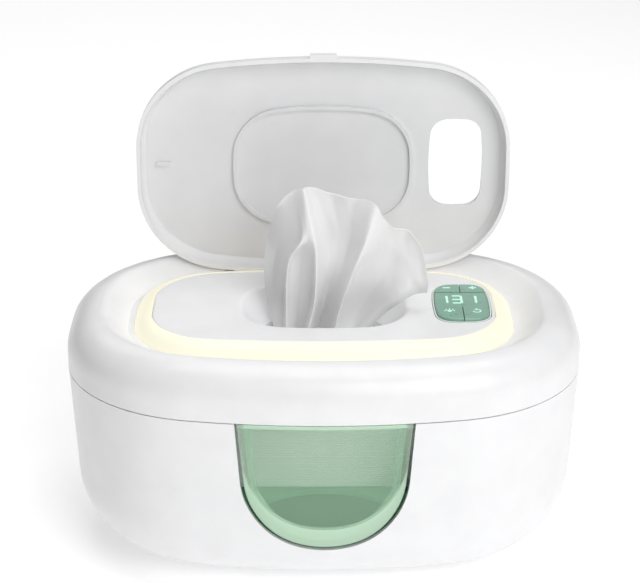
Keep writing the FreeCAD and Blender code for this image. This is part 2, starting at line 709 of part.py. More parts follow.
def make_upper_casing():
    half = "body_length / 2"
    crest = CREST
    ledge = half + " - max(deck_end_gap; deck_side_gap) + ring_width - ledge_lap"
    slope = "(shelf_slope * 1 deg)"
    turn_x = "(%s - crown_round - crest_blend * sin(%s))" % (half, slope)
    turn_z = "(%s - crest_blend + crest_blend * cos(%s))" % (crest, slope)
    foot_x = "(%s - (%s - %s) / tan(%s))" % (turn_x, turn_z, SHELF, slope)
    shell = sweep("cover_shell", BODY, COVER_BOTTOM, [
        (half, COVER_BOTTOM),
        (half, CROWN_START),
        (half + " - crown_round", crest, "crown_round", 1),
        (turn_x, turn_z, "crest_blend", 1),
        (foot_x, SHELF),
        (ledge, SHELF),
        (ledge, SHELF + " - shell_wall"),
        (foot_x + " + shell_wall / 3", SHELF + " - shell_wall"),
        (half + " - crown_round", crest + " - shell_wall"),
        (half + " - shell_wall", CROWN_START, "crown_round - shell_wall", -1),
        (half + " - shell_wall", COVER_BOTTOM),
    ])

    # The cover's whole mass, used to trim what is added under its skin.
    mass = sweep("cover_mass", BODY, COVER_BOTTOM, [
        (half, COVER_BOTTOM),
        (half, CROWN_START),
        (half + " - crown_round", crest, "crown_round", 1),
        (turn_x, turn_z, "crest_blend", 1),
        (foot_x, SHELF),
        (ledge, SHELF),
        (ledge, COVER_BOTTOM),
    ])
    slot_front = RING_BACK
    slot_floor = "(%s - lid_knuckle_radius - fit_gap)" % LID_AXIS_Z
    slot_half = "(lid_knuckle_out + lid_ear + fit_gap * 2)"
    slot_back = "(%s + lid_knuckle_radius + fit_gap)" % LID_AXIS_Y
    extras = [
        lid_nest("lid_nest_outer", "nest_gap + shell_wall", slot_front),
        cross_block("lid_slot_block", slot_half + " + shell_wall",
                    (slot_front, slot_floor + " - shell_wall"), (slot_back + " + shell_wall", SHELF)),
    ]
    for number, (x, y) in enumerate(screw_places(), start=1):
        extras.append(rod("cover_boss_%d" % number, "Z", (x, y, LAYER_BOTTOM), "20", "boss_radius"))
    inner_form = common("cover_inner_form", mass, fuse("cover_inner_blocks", *extras))
    knuckle = hinge_knuckle("cover_knuckle", "knuckle_half", "0", COVER_BOTTOM,
                            "parting_height + hinge_web")
    solid = fuse("cover_solid", shell, inner_form, knuckle)

    tools = [oval_block("ring_hole", inset(RING, "-fit_gap"), SHELF + " - 8", SHELF + " + 12")]
    tools.append(lid_nest("lid_nest_hollow", "nest_gap", LID_FRONT + " - nest_gap"))
    tools.append(cross_block("lid_barrel_slot", slot_half, (slot_front, slot_floor),
                             (slot_back, SHELF + " + 20")))
    tools.append(cross_rod("cover_hinge_bore", "knuckle_half + 1", HINGE_Y, HINGE_Z,
                           "hinge_pin_radius + pin_gap"))
    side_half = "(hinge_half - knuckle_half - fit_gap) / 2 + fit_gap"
    side_middle = "(hinge_half + knuckle_half + fit_gap) / 2"
    for side, sign in (("left", "-"), ("right", "")):
        tools.append(cross_rod("base_knuckle_relief_" + side, side_half, HINGE_Y, HINGE_Z,
                               "knuckle_radius + fit_gap", sign + side_middle))
    tools.append(rod("socket_hole", "Y", ("-" + SOCKET_X, SOCKET_FACE + " - 1", SOCKET_HEIGHT), "30",
                     "socket_radius + fit_gap"))
    for number, (x, y) in enumerate(screw_places(), start=1):
        tools.append(rod("boss_bore_%d" % number, "Z", (x, y, LINER_TOP), "7", "screw_radius + pin_gap"))
    body = cut("cover_machined", solid, *tools)

    # Ears that carry the flip lid's pin.
    ears = []
    ear_low = LID_AXIS_Z + " - lid_knuckle_radius - fit_gap - 0.1"
    for name, middle, half in (("left", "-(lid_knuckle_out + fit_gap + lid_ear / 2)", "lid_ear / 2"),
                               ("centre", "0", "lid_ear"),
                               ("right", "(lid_knuckle_out + fit_gap + lid_ear / 2)", "lid_ear / 2")):
        ears.append(cross_block("lid_ear_%s_foot" % name, half,
                                (LID_AXIS_Y + " - lid_knuckle_radius", ear_low),
                                (LID_AXIS_Y + " + lid_knuckle_radius", LID_AXIS_Z), middle))
        ears.append(cross_rod("lid_ear_%s_eye" % name, half, LID_AXIS_Y, LID_AXIS_Z,
                              "lid_knuckle_radius", middle))
    body = fuse("cover_with_ears", body, *ears)
    bore = cross_rod("lid_pin_bore", "lid_knuckle_out + lid_ear + fit_gap + 1", LID_AXIS_Y, LID_AXIS_Z,
                     "lid_pin_radius + pin_gap")
    keep("upper_casing", cut("upper_casing", body, bore))


def screw_places():
    places = []
    end = "(body_length / 2 - screw_end_inset)"
    corner_x = "(body_length / 2 - screw_corner_x)"
    corner_y = "(body_width / 2 - screw_corner_y)"
    for x, y in ((end, "0"), (corner_x, corner_y), (corner_x, "-" + corner_y)):
        places.append((x, y))
        places.append(("-" + x, y))
    return places


def make_deck():
    shell = cut("deck_shell",
                oval_block("deck_outer", inset(DECK, "fit_gap"), LAYER_BOTTOM, DECK_TOP,
                           rounded="deck_edge"),
                oval_block("deck_hollow", inset(DECK, "fit_gap + deck_wall"), LAYER_BOTTOM, DECK_UNDER))
    chute = funnel("mouth_outer", MOUTH, DECK_TOP + " - deck_wall / 2", THROAT, LAYER_BOTTOM,
                   "-throat_wall")
    posts = []
    for number, (x, y) in enumerate(board_places(), start=1):
        posts.append(rod("board_post_%d" % number, "Z", (x, y, MAIN_BOARD_TOP + " + fit_gap"),
                         "%s - %s - fit_gap + 0.2" % (DECK_UNDER, MAIN_BOARD_TOP), "2"))
    solid = fuse("deck_solid", shell, chute, *posts)
    mouth = funnel("mouth_inner", MOUTH, DECK_TOP + " + 0.01", THROAT, LAYER_BOTTOM + " - 0.01", "0")
    tray_hole = oval_block("tray_hole", inset(PANEL, "-tray_wall - 2 * fit_gap"), TRAY_BOTTOM + " - fit_gap",
                           DECK_TOP + " + 1", centre=(PANEL_X, "0"))
    machined = cut("deck_machined", solid, mouth, tray_hole)
    rim = [edge for edge in edges_on(machined.Shape, "Z", size(DECK_TOP))
           if machined.Shape.getElement(edge).BoundBox.XMax < size(MOUTH_END + " + 1")
           and machined.Shape.getElement(edge).BoundBox.XMin > -size(MOUTH_END + " + 1")]
    body = new_body("deck_body")
    body.BaseFeature = machined
    doc.recompute()
    lip = body.newObject("PartDesign::Fillet", "mouth_lip_round")
    lip.Base = (body.Group[0], rim)
    lip.setExpression("Radius", expr("mouth_lip"))
    doc.recompute()
    keep("deck", body)


MAIN_BOARD = ("-(%s - 8.5)" % DECK_END, "-24", "-(%s + 5)" % MOUTH_END, "24")


def board_places():
    left, front, right, back = MAIN_BOARD
    return [(x, y) for x in (left + " + 3", right + " - 3") for y in (front + " + 3", back + " - 3")]


def make_light_ring():
    start = DECK_END
    skirt_foot = "(%s + fit_gap)" % SHELF
    flange_top = "%s - shell_wall - fit_gap * 1.5" % SHELF
    rise = "(%s - %s)" % (DECK_TOP, skirt_foot)
    flange_bottom = flange_top + " - ring_wall * 0.8"
    ring = sweep("light_ring_band", DECK, DECK_TOP, [
        (start, DECK_TOP + " - ring_wall"),
        (start + " + ring_width - ring_wall", skirt_foot,
         "1.2 * sqrt((ring_width - ring_wall) ^ 2 + (%s - ring_wall) ^ 2)" % rise, -1),
        (start + " + ring_width - ring_wall", flange_bottom),
        (start + " + ring_width + ring_flange", flange_bottom),
        (start + " + ring_width + ring_flange", flange_top),
        (start + " + ring_width", flange_top),
        (start + " + ring_width", skirt_foot),
        (start, DECK_TOP, "0.96 * sqrt(ring_width ^ 2 + %s ^ 2)" % rise, 1),
    ])
    # The flange leaves room for the lid's barrel slot.
    gap = cross_block("ring_flange_gap", "lid_knuckle_out + lid_ear + shell_wall + fit_gap * 4",
                      (RING_BACK, SHELF + " - 10"), (RING_BACK + " + 10", SHELF))
    keep("light_ring", cut("light_ring", ring, gap))


def make_light_strip():
    start = DECK_END + " + strip_offset"
    low = LAYER_BOTTOM
    strip = sweep("led_strip_board", DECK, low, [
        (start + " - strip_width / 2", low),
        (start + " + strip_width / 2", low),
        (start + " + strip_width / 2", low + " + strip_wall"),
        (start + " - strip_width / 2", low + " + strip_wall"),
    ])
    path = oval_sketch(new_body("led_path_body"), "led_path", inset(DECK, "-strip_offset"), "XY_Plane",
                       ("0", "0", low))
    doc.recompute()
    wire = path.Shape.Wires[0]
    count = int(round(size("led_count")))
    points = wire.discretize(Number=count + 1)[:count]
    chips = []
    for index, point in enumerate(points):
        ahead = points[(index + 1) % count]
        behind = points[index - 1]
        heading = math.degrees(math.atan2(ahead.y - behind.y, ahead.x - behind.x))
        chip = doc.addObject("Part::Box", "led_%d" % (index + 1))
        chip.setExpression("Length", expr("led_length"))
        chip.setExpression("Width", expr("led_width"))
        chip.setExpression("Height", expr("led_height"))
        turn = Rotation(Vector(0, 0, 1), heading)
        corner = turn.multVec(Vector(-size("led_length") / 2, -size("led_width") / 2, 0))
        level = Vector(0, 0, size("strip_wall"))
        chip.Placement = Placement(point + corner + level, turn)
        chips.append(chip)
    keep("led_strip", group("led_strip", strip, *chips))


def make_liner():
    plate = oval_block("liner_plate", inset(BODY, "shell_wall + fit_gap"), LINER_BOTTOM, LINER_TOP)
    tools = [oval_block("liner_throat", THROAT, LINER_BOTTOM + " - 1", LINER_TOP + " + 1")]
    screws = []
    for number, (x, y) in enumerate(screw_places(), start=1):
        tools.append(rod("liner_hole_%d" % number, "Z", (x, y, LINER_BOTTOM + " - 1"), "liner_wall + 2",
                         "screw_radius + fit_gap"))
        tools.append(rod("liner_recess_%d" % number, "Z", (x, y, LINER_BOTTOM + " - 1"),
                         "liner_wall / 2 + 1 + fit_gap", "screw_head_radius + fit_gap"))
        head = rod("screw_head_%d" % number, "Z", (x, y, LINER_BOTTOM + " + 0.1"), "liner_wall / 2",
                   "screw_head_radius")
        shank = rod("screw_shank_%d" % number, "Z", (x, y, LINER_BOTTOM + " + 0.1"), "8", "screw_radius")
        screws.append(fuse("screw_%d" % number, head, shank))
    keep("cover_liner", cut("cover_liner", plate, *tools))
    keep("cover_screws", group("cover_screws", *screws))

    keep("cover_seal", cut("cover_seal",
                           oval_block("seal_outer", inset(BODY, "seal_inset"), TANK_TOP + " + fit_gap",
                                      LINER_BOTTOM),
                           oval_block("seal_inner", inset(BODY, "seal_inset + seal_wall"),
                                      TANK_TOP + " + fit_gap", LINER_BOTTOM)))


def make_heater():
    hole = inset(THROAT, "-throat_wall - plate_wall * 1.7")
    plate_top = LAYER_BOTTOM + " + plate_wall"
    film_top = plate_top + " + film_wall"
    keep("heating_plate", cut("heating_plate",
                              oval_block("plate_blank", inset(DECK, "plate_inset"), LAYER_BOTTOM, plate_top),
                              oval_block("plate_hole", hole, LAYER_BOTTOM + " - 1", plate_top + " + 1")))
    keep("heater_film", cut("heater_film",
                            oval_block("film_blank", inset(DECK, "plate_inset + 2"), plate_top, film_top),
                            oval_block("film_hole", inset(hole, "-1.5"), plate_top + " - 1",
                                       film_top + " + 1")))
    can_x = "(%s - 36.5)" % DECK_END
    can_y = "-(%s - 17.8)" % DECK_BACK
    can = rod("thermostat_can", "Z", (can_x, can_y, film_top), "4", "5")
    lead = box("thermostat_terminals", (can_x + " - 3", can_y + " - 6.5", film_top),
               (can_x + " + 3", can_y, film_top + " + 1.5"))
    keep("thermostat", fuse("thermostat", can, lead))


def make_boards():
    left, front, right, back = MAIN_BOARD
    low = MAIN_BOARD_TOP + " - board_wall"
    board = box("main_board_plate", (left, front, low), (right, back, MAIN_BOARD_TOP))
    inductor = rod("main_board_coil", "Z", (left + " + 12", "-10", MAIN_BOARD_TOP), "3.6", "5")
    capacitor = rod("main_board_capacitor", "Z", (left + " + 8", "11", MAIN_BOARD_TOP), "3.8", "4")
    driver = box("main_board_driver", (left + " + 16", "2", MAIN_BOARD_TOP),
                 (left + " + 22", "9", MAIN_BOARD_TOP + " + 1.6"))
    keep("main_board", group("main_board", board, inductor, capacitor, driver))

    top = CONTROL_BOARD_TOP
    board = box("control_board_plate", (PANEL_X + " - panel_width / 2 + 0.8", "-panel_length / 2 + 2",
                                        top + " - board_wall"),
                (PANEL_X + " + panel_width / 2 - 2.5", "panel_length / 2 - 2", top))
    parts = [board]
    for name, x, y in key_places():
        parts.append(box("switch_" + name, (x + " - 2.2", y + " - 2.2", top),
                         (x + " + 2.2", y + " + 2.2", top + " + 0.6")))
    parts.append(box("display_module", (PANEL_X + " - 8", "-5.5", top),
                     (PANEL_X + " + 8", "5.5", top + " + 3.2")))
    keep("control_board", group("control_board", *parts))


# ---- Key panel -----------------------------------------------------------

def key_places():
    """Each key's name and the middle of its cap."""
    side = "panel_width / 4"
    rear = "((panel_length - rear_key_row) / 2)"
    front = "-((panel_length - front_key_row) / 2)"
    return [
        ("minus", PANEL_X + " - " + side, rear),
        ("plus", PANEL_X + " + " + side, rear),
        ("light", PANEL_X + " - " + side, front),
        ("power", PANEL_X + " + " + side, front),
    ]


def make_panel():
    centre = (PANEL_X, "0")
    tray = oval_block("tray_outer", inset(PANEL, "-tray_wall - fit_gap"), TRAY_BOTTOM,
                      DECK_TOP + " + tray_rise", centre=centre)
    tools = [oval_block("tray_cavity", inset(PANEL, "-fit_gap"), TRAY_FLOOR, DECK_TOP + " + 5",
                        centre=centre)]
    for name, x, y in key_places():
        tools.append(rod("tray_hole_" + name, "Z", (x, y, TRAY_BOTTOM + " - 1"), "5",
                         "stem_radius + fit_gap"))
    tools.append(box("tray_display_hole", (PANEL_X + " - 8.3", "-5.8", TRAY_BOTTOM + " - 1"),
                     (PANEL_X + " + 8.3", "5.8", TRAY_FLOOR + " + 1")))
    body = cut("tray_machined", tray, *tools)
    posts = []
    for number, (sign_x, sign_y) in enumerate((("-", "-"), ("+", "-"), ("+", ""), ("-", "")), start=1):
        posts.append(rod("tray_post_%d" % number, "Z",
                         (PANEL_X + " %s 9" % sign_x, sign_y + "7.6", CONTROL_BOARD_TOP + " + fit_gap"),
                         "%s - %s - fit_gap + 0.2" % (TRAY_BOTTOM, CONTROL_BOARD_TOP), "1"))
    keep("panel_tray", fuse("panel_tray", body, *posts))

    cap = oval_block("key_caps", PANEL, KEY_BOTTOM, KEY_TOP, centre=centre, rounded="key_edge")
    half_x = "panel_width"
    rear_edge = "(panel_length / 2 - rear_key_row)"
    front_edge = "(front_key_row - panel_length / 2)"
    middle = box("display_band",
                 (PANEL_X + " - " + half_x, front_edge + " + key_gap / 2", KEY_BOTTOM + " - fit_gap"),
                 (PANEL_X + " + " + half_x, rear_edge + " - key_gap / 2", KEY_TOP))
    lens_blank = oval_block("lens_blank", PANEL, TRAY_FLOOR + " + fit_gap", KEY_TOP + " - 0.2",
                            centre=centre, rounded="key_edge")
    keep("display_lens", common("display_lens", lens_blank, middle))
    for name, x, y in key_places():
        low_x = PANEL_X + " + key_gap / 2" if name in ("plus", "power") else PANEL_X + " - " + half_x
        high_x = PANEL_X + " + " + half_x if name in ("plus", "power") else PANEL_X + " - key_gap / 2"
        rear = name in ("minus", "plus")
        low_y = rear_edge + " + key_gap / 2" if rear else "-panel_length"
        high_y = "panel_length" if rear else front_edge + " - key_gap / 2"
        quarter = box("key_quarter_" + name, (low_x, low_y, KEY_BOTTOM + " - 1"),
                      (high_x, high_y, KEY_TOP + " + 1"))
        stem = rod("key_stem_" + name, "Z", (x, y, CONTROL_BOARD_TOP + " + 1.4"),
                   "%s - %s - 1.2" % (KEY_BOTTOM, CONTROL_BOARD_TOP), "stem_radius")
        keep("key_" + name, fuse("key_" + name, common("key_cap_" + name, cap, quarter), stem))


def make_socket():
    half = "4.5"
    low = LAYER_BOTTOM
    block = box("socket_block", ("-%s - %s" % (SOCKET_X, half), SOCKET_FACE + " - 12.8", low),
                ("-%s + %s" % (SOCKET_X, half), SOCKET_FACE, SOCKET_HEIGHT + " + 3.8"))
    nose = rod("socket_nose", "Y", ("-" + SOCKET_X, SOCKET_FACE + " - 1", SOCKET_HEIGHT), "5.6",
               "socket_radius")
    bore = rod("socket_bore_cut", "Y", ("-" + SOCKET_X, SOCKET_FACE + " - 5", SOCKET_HEIGHT), "12",
               "socket_bore")
    pin = rod("socket_pin", "Y", ("-" + SOCKET_X, SOCKET_FACE + " - 6", SOCKET_HEIGHT), "9", "1")
    keep("dc_socket", fuse("dc_socket", cut("socket_bored", fuse("socket_solid", block, nose), bore), pin))


# ---- Flip lid ------------------------------------------------------------

def make_lid():
    centre = ("0", LID_MIDDLE)
    outer = oval_plate("lid_outer", LID, LID_FRONT, LID_BACK, centre, rounded="lid_round")
    hollow = oval_plate("lid_hollow", inset(LID, "lid_wall"), LID_FRONT, LID_BACK + " - lid_top_wall",
                        centre, rounded="lid_round - lid_wall")
    shell = cut("lid_shell", outer, hollow)
    swing = cross_rod("lid_swing_relief", "lid_ear + fit_gap * 1.5", LID_AXIS_Y, LID_AXIS_Z,
                      "lid_knuckle_radius + fit_gap * 1.5")
    shell = cut("lid_shell_relieved", shell, swing)
    parts = [shell]
    half = "(lid_knuckle_out - lid_knuckle_in) / 2"
    middle = "(lid_knuckle_out + lid_knuckle_in) / 2"
    for side, sign in (("left", "-"), ("right", "")):
        parts.append(cross_rod("lid_knuckle_" + side, half, LID_AXIS_Y, LID_AXIS_Z, "lid_knuckle_radius",
                               sign + middle))
        parts.append(cross_block("lid_web_" + side, half, (LID_FRONT, LID_AXIS_Z),
                                 (LID_FRONT + " + lid_wall", LID_AXIS_Z + " + 3"), sign + middle))
    parts.append(box("lid_tab", ("-tab_length / 2", LID_FRONT, LID_TOP + " - 1.6"),
                     ("tab_length / 2", LID_FRONT + " + tab_wall", LID_TOP + " + tab_reach")))
    solid = fuse("lid_solid", *parts)
    hole = oval_plate("lid_hole", inset(PANEL, "-lid_hole_gap"), LID_FRONT, LID_BACK + " + 1",
                      (PANEL_X, LID_MIDDLE))
    bore = cross_rod("lid_bore", "lid_knuckle_out + 1", LID_AXIS_Y, LID_AXIS_Z, "lid_pin_radius + pin_gap")
    keep("flip_lid_shell", cut("flip_lid_shell", solid, hole, bore))

    inner_back = LID_BACK + " - lid_top_wall - 0.1"
    inner_front = inner_back + " - lid_panel_wall"
    # The panel's edge follows the round of the shell's cavity.
    seat = "lid_wall + fit_gap / 2"
    blank = oval_plate("lid_inner_blank", inset(LID, seat), LID_FRONT, inner_back, centre,
                       rounded="lid_round - (%s)" % seat)
    spare = oval_plate("lid_inner_spare", LID, LID_FRONT + " - 1", inner_front, centre)
    plate = cut("lid_inner_plate", blank, spare)
    lug = box("lid_lug", ("-81.5", inner_front + " - 1.6", LID_MIDDLE + " - 0.9"),
              ("-74.7", inner_front + " + 0.4", LID_MIDDLE + " + 0.9"))
    inner_hole = oval_plate("lid_inner_hole", inset(PANEL, "-lid_hole_gap"), inner_front + " - 1",
                            inner_back + " + 1", (PANEL_X, LID_MIDDLE))
    keep("flip_lid_inner", cut("flip_lid_inner", fuse("lid_inner_solid", plate, lug), inner_hole))

    seal_front = LID_FRONT + " + deck_rise"
    seal_centre = ("0", LID_MIDDLE + " - lid_seal_drop")
    seal_outer = oval_plate("lid_seal_outer", LID_SEAL, seal_front, inner_front, seal_centre)
    seal_inner = oval_plate("lid_seal_inner", inset(LID_SEAL, "lid_seal_wall"), seal_front, inner_front,
                            seal_centre)
    keep("lid_seal", cut("lid_seal", seal_outer, seal_inner))

    keep("lid_hinge_pin", cross_rod("lid_hinge_pin", "lid_knuckle_out + lid_ear + fit_gap",
                                    LID_AXIS_Y, LID_AXIS_Z, "lid_pin_radius"))


def make_pulled_wipe():
    """The wipe that stands in the mouth: a soft slab with the fan's outline."""
    body = new_body("pulled_wipe_body")

    def at(across, up):
        return ("%s * wipe_width" % across, "%s + %s * wipe_height" % (DECK_TOP, up))

    sketch = section_sketch(body, "wipe_outline", "XZ_Plane", [
        ("-%s * 0.44" % THROAT_END, LINER_BOTTOM),
        (THROAT_END + " * 0.44", LINER_BOTTOM),
        at(0.31, 0),
        at(0.62, 0.2),
        at(0.58, 0.5),
        at(0.5, 0.65),
        at(0.36, 0.69),
        at(0.28, 0.93),
        at(0.02, 0.98),
        at(-0.1, 1),
        at(-0.3, 0.8),
        at(-0.37, 0.42),
        at(-0.32, 0),
    ])
    pad(body, sketch, "wipe_depth", middle=True)
    keep("pulled_wipe", body)


make_base()
make_platform()
make_upper_casing()
make_deck()
make_light_ring()
make_light_strip()
make_liner()
make_heater()
make_boards()
make_panel()
make_socket()
make_lid()
make_pulled_wipe()

doc.recompute()
for item in doc.Objects:
    if "Invalid" in item.State or "Error" in item.State:
        raise RuntimeError("%s failed: %s" % (item.Label, item.State))
for name, item in nodes.items():
    if item.Shape.isNull() or not item.Shape.isValid():
        raise RuntimeError("%s has no valid shape" % name)

os.makedirs("parts", exist_ok=True)
for name, item in nodes.items():
    item.Shape.exportStep("parts/%s.step" % name)
    print("%-18s solids %2d  faces %3d  volume %9.1f" % (
        name, len(item.Shape.Solids), len(item.Shape.Faces), item.Shape.Volume))
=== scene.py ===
# %% [markdown]
# # A baby wipe warmer, dressed over its CAD model
# The CAD model already has every rigid part at its true size. This lesson gives those parts their
# finishes, adds the marks on the keys, winds the two springs again, and models the two soft things:
# the stack of folded wipes in the tank, and the wipe that stands in the mouth.

# %% Load the CAD model
import math

import bpy
from mathutils import Matrix, Vector, noise


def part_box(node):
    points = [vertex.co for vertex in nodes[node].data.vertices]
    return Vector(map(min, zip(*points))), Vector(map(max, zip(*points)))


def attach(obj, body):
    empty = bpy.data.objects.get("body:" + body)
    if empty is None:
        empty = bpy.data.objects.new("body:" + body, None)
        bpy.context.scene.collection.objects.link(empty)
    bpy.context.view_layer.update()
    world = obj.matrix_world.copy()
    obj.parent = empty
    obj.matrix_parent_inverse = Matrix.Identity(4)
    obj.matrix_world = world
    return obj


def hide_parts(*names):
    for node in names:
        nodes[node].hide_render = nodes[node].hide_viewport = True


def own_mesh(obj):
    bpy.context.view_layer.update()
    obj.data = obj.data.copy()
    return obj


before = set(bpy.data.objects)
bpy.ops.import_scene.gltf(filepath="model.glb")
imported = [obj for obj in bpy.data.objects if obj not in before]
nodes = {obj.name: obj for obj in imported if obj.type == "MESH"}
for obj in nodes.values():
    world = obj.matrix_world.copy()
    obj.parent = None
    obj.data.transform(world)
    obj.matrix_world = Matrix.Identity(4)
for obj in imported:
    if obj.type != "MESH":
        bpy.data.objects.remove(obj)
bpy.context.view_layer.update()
MM = 0.001


def as_lists(box):
    """A box's two corners as plain lists of numbers."""
    return [[float(number) for number in corner] for corner in box]


# %% [markdown]
# ## Camera
# A long lens stands about a metre in front and looks down by some twenty degrees, so that the deck,
# the inside of the open lid and the window in the front are all in view.

# %% Camera
LOOK_AT = Vector((-1.81, 0.0, 119.16)) * MM
DISTANCE = 1.0
LENS = 119.59
SENSOR = 36.0
PITCH = math.radians(21.73)
YAW = math.radians(-0.26)

away = Vector((math.sin(YAW) * math.cos(PITCH), -math.cos(YAW) * math.cos(PITCH), math.sin(PITCH)))
camera_data = bpy.data.cameras.new("camera")
camera_data.lens = LENS
camera_data.sensor_width = SENSOR
camera = bpy.data.objects.new("camera", camera_data)
camera.location = LOOK_AT + DISTANCE * away
camera.rotation_euler = (-away).to_track_quat("-Z", "Y").to_euler()
bpy.context.scene.collection.objects.link(camera)
bpy.context.scene.camera = camera
print("camera at", [round(number, 3) for number in camera.location])

# %% [markdown]
# ## Studio
# A white plastic object needs a light that is soft but not flat: one big soft box from the right and
# above, a small low one in front that reaches in through the window, one above, and a pale floor that
# runs on past the picture's edge and has a light of its own.

# %% Studio floor
def deselect():
    """Nothing selected, no edit mode: the state in which each operator starts."""
    if bpy.context.object and bpy.context.object.mode != "OBJECT":
        bpy.ops.object.mode_set(mode="OBJECT")
    bpy.ops.object.select_all(action="DESELECT")


deselect()
bpy.ops.mesh.primitive_plane_add(size=8.0, location=(0, 1.0, 0))
bpy.ops.object.transform_apply(location=True)
floor = bpy.context.object
floor.name = "studio_floor"
floor_paint = bpy.data.materials.new("studio_paint")
floor_paint.use_nodes = True
paint = floor_paint.node_tree.nodes["Principled BSDF"]
paint.inputs["Base Color"].default_value = (0.93, 0.93, 0.93, 1)
paint.inputs["Roughness"].default_value = 0.9
paint.inputs["Specular IOR Level"].default_value = 0.1
paint.inputs["Emission Color"].default_value = (1, 1, 1, 1)
paint.inputs["Emission Strength"].default_value = 0.31
floor.data.materials.append(floor_paint)
print("floor", floor.dimensions[:2])

# %% Studio lights
def soft_box(name, place, aim, width, watts):
    """A white, square area light at a place, turned towards a point."""
    lamp = bpy.data.lights.new(name, "AREA")
    lamp.shape = "SQUARE"
    lamp.size = width
    lamp.energy = watts
    holder = bpy.data.objects.new(name, lamp)
    holder.location = place
    direction = Vector(aim) - Vector(place)
    holder.rotation_euler = direction.to_track_quat("-Z", "Y").to_euler()
    bpy.context.scene.collection.objects.link(holder)


MIDDLE = (0, 0, 0.1)
soft_box("key_box", (0.6, -1.1, 1.1), MIDDLE, 1.1, 14)
soft_box("fill_box", (0.45, -1.5, 0.3), MIDDLE, 0.7, 1.7)
soft_box("top_box", (0.1, 0.2, 1.6), MIDDLE, 1.2, 12.5)
soft_box("floor_box", (-0.6, 1.6, 1.5), (-0.6, 1.7, 0), 1.5, 9)

world = bpy.data.worlds.new("studio_air")
world.use_nodes = True
air = world.node_tree.nodes["Background"]
air.inputs["Color"].default_value = (1, 1, 1, 1)
air.inputs["Strength"].default_value = 0.12
bpy.context.scene.world = world
bpy.context.scene.view_settings.view_transform = "Standard"

# %% [markdown]
# ## Moulded plastic
# Injection-moulded plastic is never one flat colour. The tone drifts by a percent or two, the gloss
# varies in broad patches, and a fine spark-eroded grain from the mould breaks up the highlights.
# One function builds all three from noise in the piece's own coordinates.

# %% A helper for node materials
def new_material(name, colour, roughness):
    """A material, its node tree, its Principled shader and its object coordinates."""
    material = bpy.data.materials.new(name)
    material.use_nodes = True
    tree = material.node_tree
    shader = tree.nodes["Principled BSDF"]
    shader.inputs["Base Color"].default_value = (*colour, 1)
    shader.inputs["Roughness"].default_value = roughness
    place = tree.nodes.new("ShaderNodeTexCoord").outputs["Object"]
    return material, tree, shader, place


def noise_node(tree, place, scale, detail=3.0):
    """Noise in metres: a scale of 100 gives patches of about ten millimetres."""
    node = tree.nodes.new("ShaderNodeTexNoise")
    node.inputs["Scale"].default_value = scale
    node.inputs["Detail"].default_value = detail
    tree.links.new(place, node.inputs["Vector"])
    return node.outputs["Fac"]


def tone_between(tree, factor, dark, light, socket):
    """Joins a colour that drifts between two tones to a socket."""
    ramp = tree.nodes.new("ShaderNodeValToRGB")
    ramp.color_ramp.elements[0].position = 0.3
    ramp.color_ramp.elements[1].position = 0.7
    ramp.color_ramp.elements[0].color = (*dark, 1)
    ramp.color_ramp.elements[1].color = (*light, 1)
    tree.links.new(factor, ramp.inputs["Fac"])
    tree.links.new(ramp.outputs["Color"], socket)


def gloss_between(tree, factor, low, high, socket):
    """Joins a roughness that drifts between two values to a socket."""
    spread = tree.nodes.new("ShaderNodeMapRange")
    spread.inputs["From Min"].default_value = 0.3
    spread.inputs["From Max"].default_value = 0.7
    spread.inputs["To Min"].default_value = low
    spread.inputs["To Max"].default_value = high
    tree.links.new(factor, spread.inputs["Value"])
    tree.links.new(spread.outputs["Result"], socket)


def grain_on(tree, shader, height, depth, strength):
    """Bumps the surface by a height pattern, depth in metres."""
    bump = tree.nodes.new("ShaderNodeBump")
    bump.inputs["Strength"].default_value = strength
    bump.inputs["Distance"].default_value = depth
    tree.links.new(height, bump.inputs["Height"])
    tree.links.new(bump.outputs["Normal"], shader.inputs["Normal"])


def shade(colour, factor):
    """A colour made darker or lighter."""
    return tuple(min(1.0, channel * factor) for channel in colour)


def moulded(name, colour, roughness, drift=0.02, patch=60.0, grain=2500.0, depth=0.00004):
    """Plastic from a mould: drifting tone, patchy gloss, fine grain."""
    material, tree, shader, place = new_material(name, colour, roughness)
    tone_between(tree, noise_node(tree, place, patch), shade(colour, 1 - drift),
                 shade(colour, 1 + drift), shader.inputs["Base Color"])
    gloss_between(tree, noise_node(tree, place, patch * 2.3), roughness * 0.88, roughness * 1.15,
                  shader.inputs["Roughness"])
    grain_on(tree, shader, noise_node(tree, place, grain, 2.0), depth, 0.25)
    return material


def paint_node(name, material):
    """Gives a CAD node its finish, in every material slot."""
    node = nodes[name]
    if not node.material_slots:
        node.data.materials.append(material)
    for slot in node.material_slots:
        slot.material = material


# %% White housing plastic
white_shell = moulded("white_shell_plastic", (0.87, 0.87, 0.88), 0.34)
white_shell.node_tree.nodes["Principled BSDF"].inputs["Coat Weight"].default_value = 0.12
for name in ("lower_casing", "upper_casing", "flip_lid_shell", "deck"):
    paint_node(name, white_shell)
inner_white = moulded("inner_white_plastic", (0.8, 0.8, 0.81), 0.45)
for name in ("flip_lid_inner", "cover_liner"):
    paint_node(name, inner_white)
print("white plastics:", white_shell.name, inner_white.name)

# %% Silicone and rubber
silicone = moulded("pale_silicone", (0.78, 0.79, 0.79), 0.55, grain=1800.0)
silicone.node_tree.nodes["Principled BSDF"].inputs["Subsurface Weight"].default_value = 0.1
silicone.node_tree.nodes["Principled BSDF"].inputs["Subsurface Scale"].default_value = 0.002
for name in ("lid_seal", "cover_seal"):
    paint_node(name, silicone)
foot_rubber = moulded("foot_rubber", (0.5, 0.5, 0.52), 0.8, drift=0.05)
paint_node("rubber_feet", foot_rubber)

